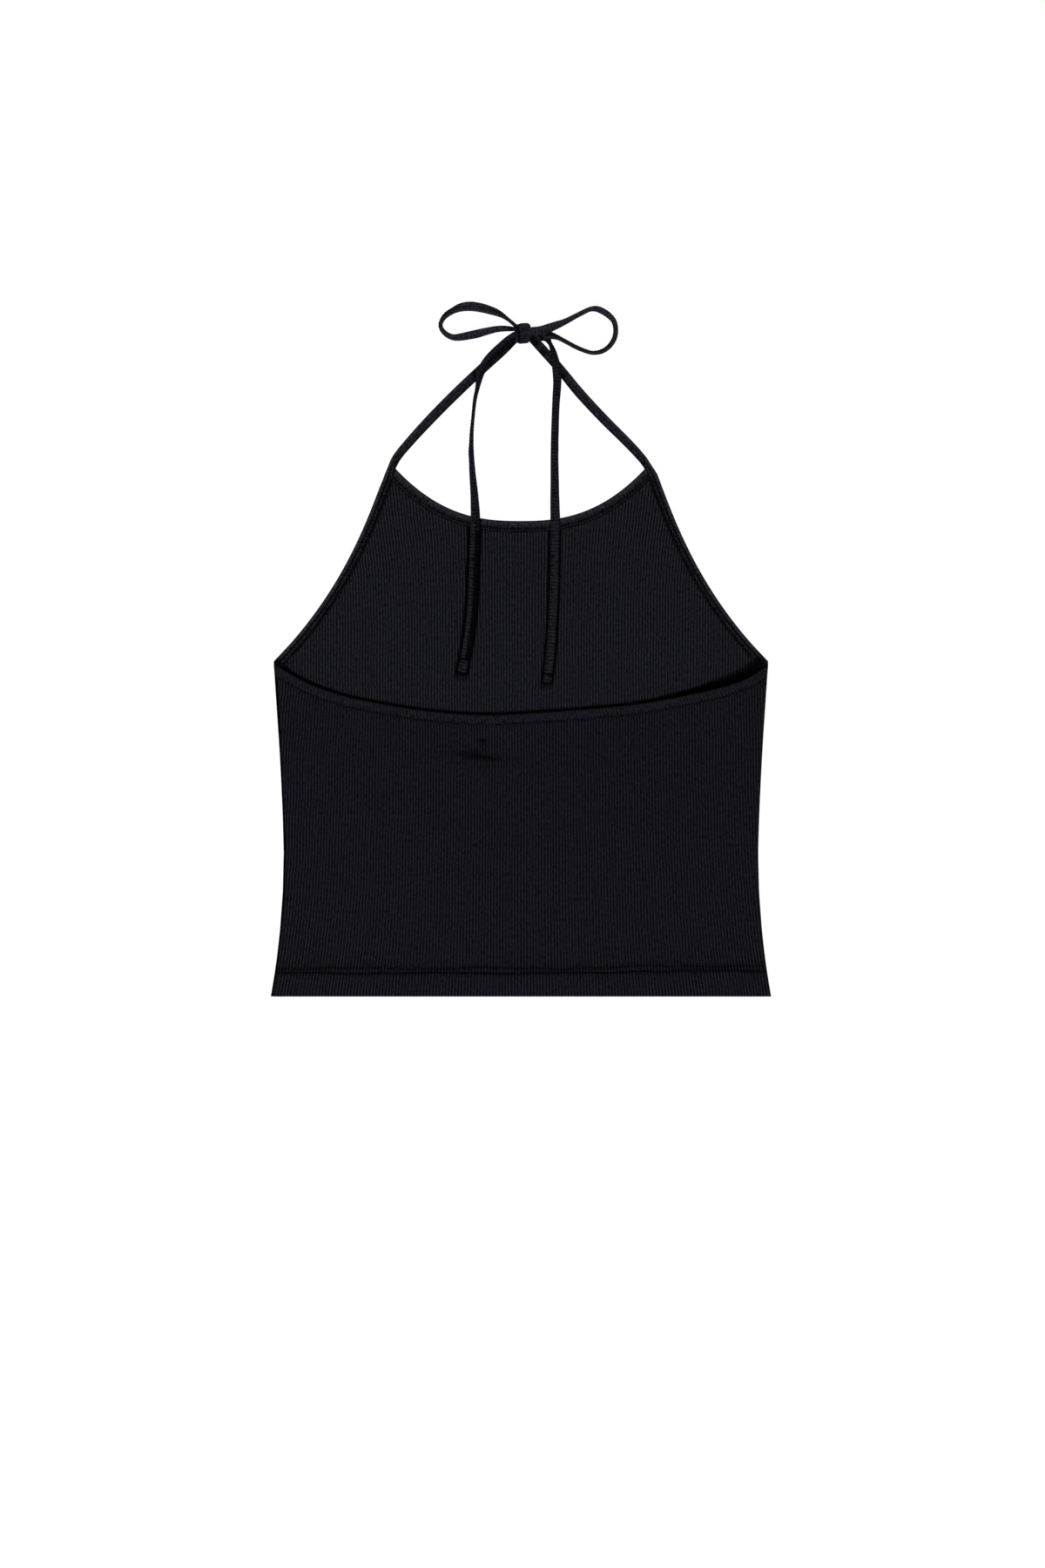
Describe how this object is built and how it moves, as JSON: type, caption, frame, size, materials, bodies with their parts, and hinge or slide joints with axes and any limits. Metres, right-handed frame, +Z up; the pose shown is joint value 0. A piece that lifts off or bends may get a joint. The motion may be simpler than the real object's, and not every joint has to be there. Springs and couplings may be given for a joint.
{
  "type": "halter neck top",
  "caption": "Sleeveless halter neck top in fine rib knit, laid flat back side up, its folded neck ties knotted in a bow.",
  "frame": {"origin": "middle of the outline's box, on the surface that the top lies on", "axes": "+Z up off the surface, +Y from the hem to the bow, +X to the wearer's right; the back panel lies uppermost"},
  "size_m": [0.383, 0.5309, 0.0117],
  "materials": {
    "rib_knit": "matt black fine rib knit",
    "rib_binding": "matt black rib knit binding, folded and stitched"
  },
  "bodies": {
    "root": {"front_panel": "rib_knit", "back_panel": "rib_knit", "neck_binding": "rib_binding", "back_binding": "rib_binding", "armhole_tie_left": "rib_binding", "armhole_tie_right": "rib_binding", "bow_knot": "rib_binding", "bow_loop_left": "rib_binding", "bow_loop_right": "rib_binding", "tie_tail_left": "rib_binding", "tie_tail_right": "rib_binding"}
  },
  "joints": []
}
